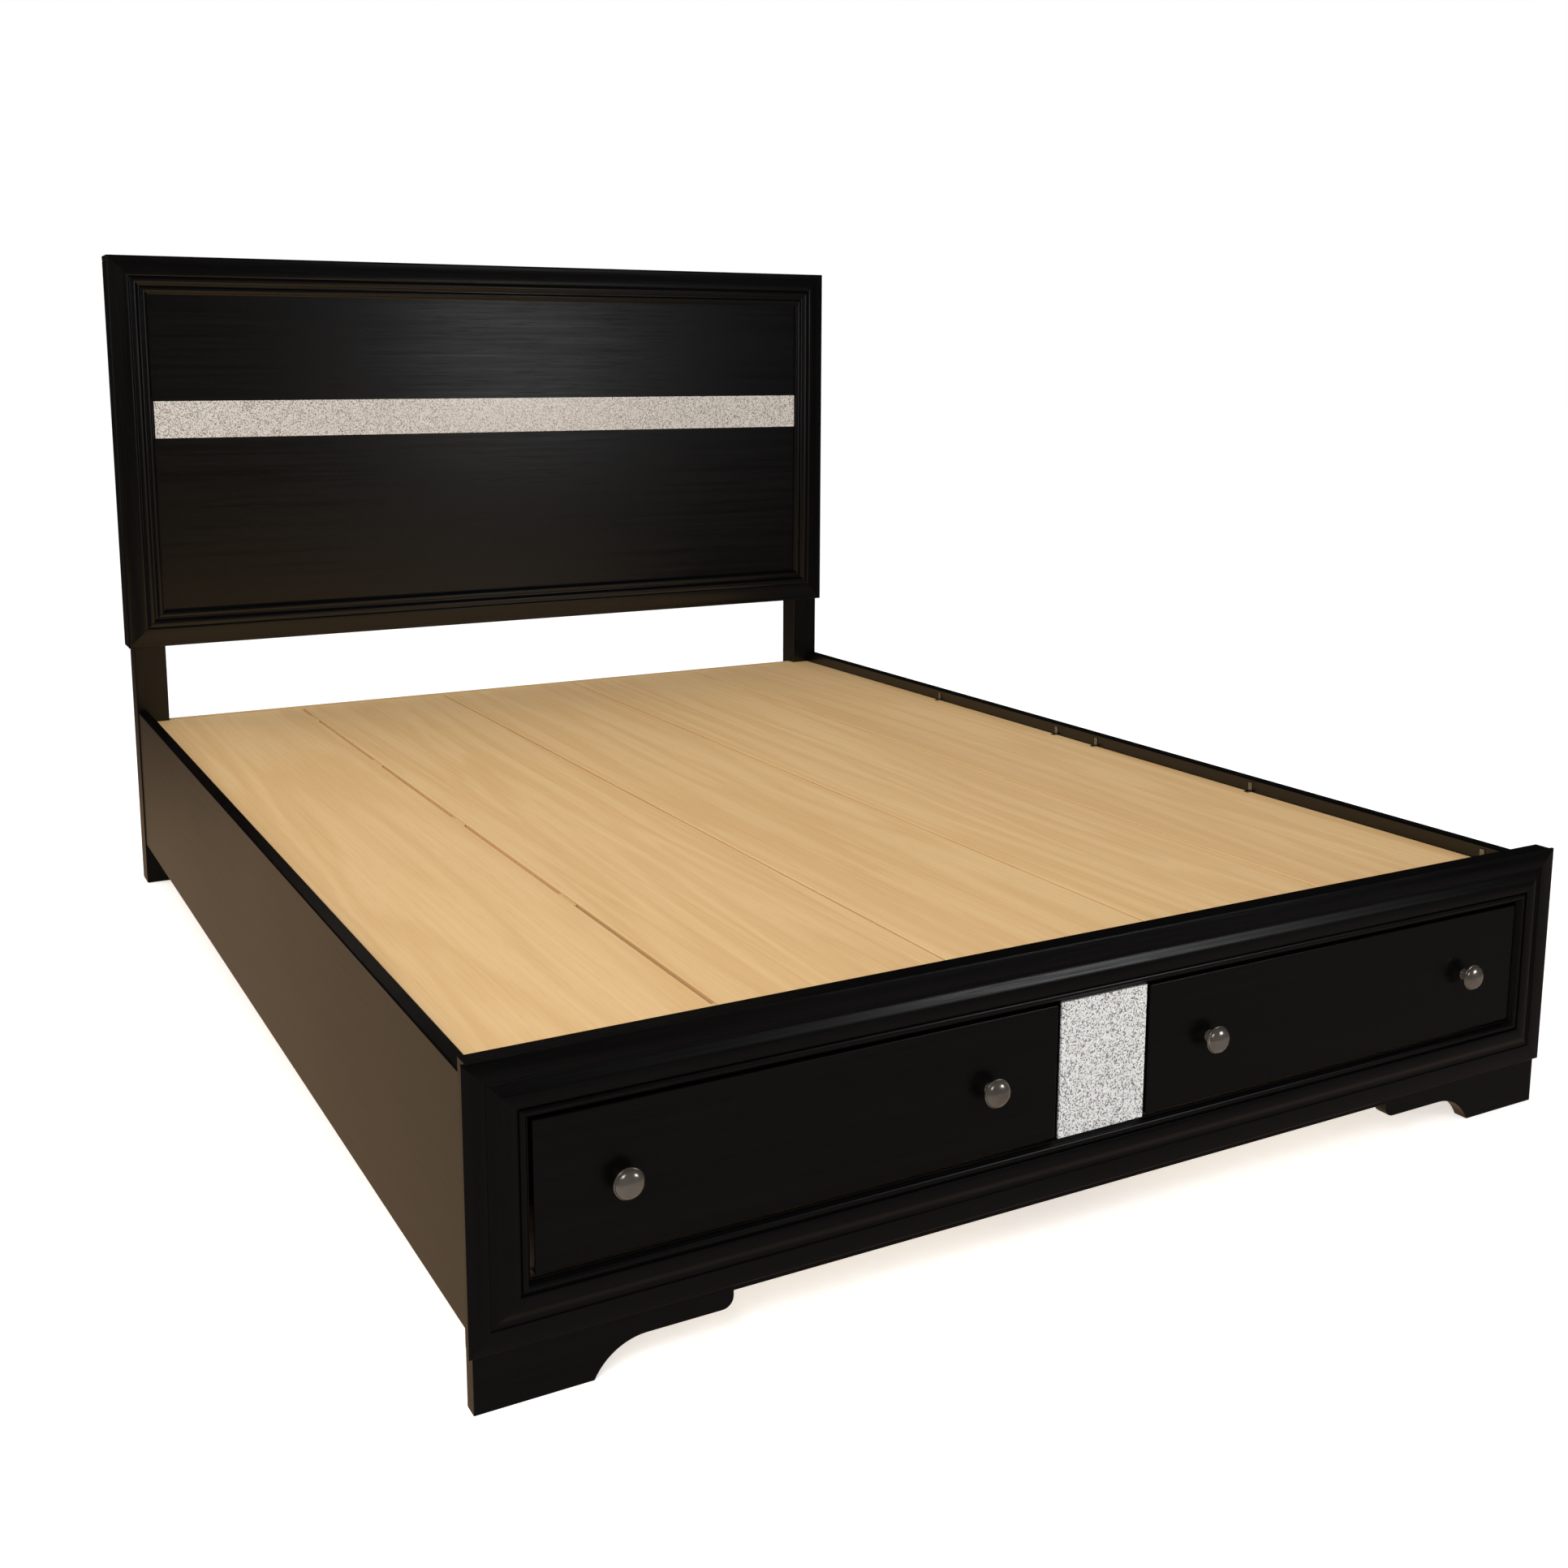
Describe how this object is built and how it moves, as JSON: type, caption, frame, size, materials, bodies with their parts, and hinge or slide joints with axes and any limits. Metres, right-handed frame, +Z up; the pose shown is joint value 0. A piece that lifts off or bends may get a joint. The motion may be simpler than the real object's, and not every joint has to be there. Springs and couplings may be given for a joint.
{
  "type": "platform bed with storage drawers",
  "caption": "Queen size platform bed: framed headboard, low footboard with storage drawers on slides, side rails and a boarded deck on cross slats.",
  "frame": {"origin": "on the floor, at the centre of the bed's length and width", "axes": "+Z up, +Y from the footboard to the headboard, +X to the right of someone who faces the footboard"},
  "size_m": [1.652, 2.151, 1.295],
  "materials": {
    "black_lacquer": "gloss black lacquer on wood",
    "deck_plywood": "pale plywood, unfinished",
    "frame_pine": "planed softwood, unfinished",
    "drawer_birch": "birch, clear sealed",
    "glitter_laminate": "fine silver glitter",
    "knob_nickel": "brushed nickel",
    "zinc_steel": "zinc plated",
    "glide_plastic": "moulded, matt"
  },
  "bodies": {
    "frame": {"centre_beam": "frame_pine", "centre_legs": "frame_pine", "corner_bolts": "zinc_steel", "corner_irons": "zinc_steel", "cross_slats": "frame_pine", "deck_board_1": "deck_plywood", "deck_board_2": "deck_plywood", "deck_board_3": "deck_plywood", "deck_board_4": "deck_plywood", "deck_board_5": "deck_plywood", "deck_clips": "zinc_steel", "footboard_centre_post": "black_lacquer", "footboard_glitter_panel": "glitter_laminate", "footboard_moulding_bottom": "black_lacquer", "footboard_moulding_left": "black_lacquer", "footboard_moulding_right": "black_lacquer", "footboard_moulding_top": "black_lacquer", "footboard_skirt": "black_lacquer", "footboard_stile_left": "black_lacquer", "footboard_stile_right": "black_lacquer", "footboard_top_rail": "black_lacquer", "head_cross_rail": "frame_pine", "headboard_back_panel": "black_lacquer", "headboard_bottom_rail": "black_lacquer", "headboard_glitter_band": "glitter_laminate", "headboard_lower_panel": "black_lacquer", "headboard_middle_rail": "black_lacquer", "headboard_moulding_bottom": "black_lacquer", "headboard_moulding_left": "black_lacquer", "headboard_moulding_right": "black_lacquer", "headboard_moulding_top": "black_lacquer", "headboard_post_left": "black_lacquer", "headboard_post_right": "black_lacquer", "headboard_side_caps": "black_lacquer", "headboard_top_cap": "black_lacquer", "headboard_top_rail": "black_lacquer", "headboard_upper_panel": "black_lacquer", "housing_rear_rail": "frame_pine", "leg_glides": "glide_plastic", "rail_ledgers": "frame_pine", "runner_boards": "frame_pine", "runner_channels": "zinc_steel", "side_rail_left": "black_lacquer", "side_rail_right": "black_lacquer"},
    "drawer_left": {"drawer_left_back": "drawer_birch", "drawer_left_base": "drawer_birch", "drawer_left_front": "black_lacquer", "drawer_left_knob_screws": "zinc_steel", "drawer_left_knobs": "knob_nickel", "drawer_left_side_inner": "drawer_birch", "drawer_left_side_outer": "drawer_birch", "drawer_left_slides": "zinc_steel"},
    "drawer_right": {"drawer_right_back": "drawer_birch", "drawer_right_base": "drawer_birch", "drawer_right_front": "black_lacquer", "drawer_right_knob_screws": "zinc_steel", "drawer_right_knobs": "knob_nickel", "drawer_right_side_inner": "drawer_birch", "drawer_right_side_outer": "drawer_birch", "drawer_right_slides": "zinc_steel"}
  },
  "joints": [
    {"name": "drawer_left_slide", "type": "slide", "parent": "frame", "child": "drawer_left", "axis": [0, -1, 0], "range_m": [0, 0.38]},
    {"name": "drawer_right_slide", "type": "slide", "parent": "frame", "child": "drawer_right", "axis": [0, -1, 0], "range_m": [0, 0.38]}
  ]
}
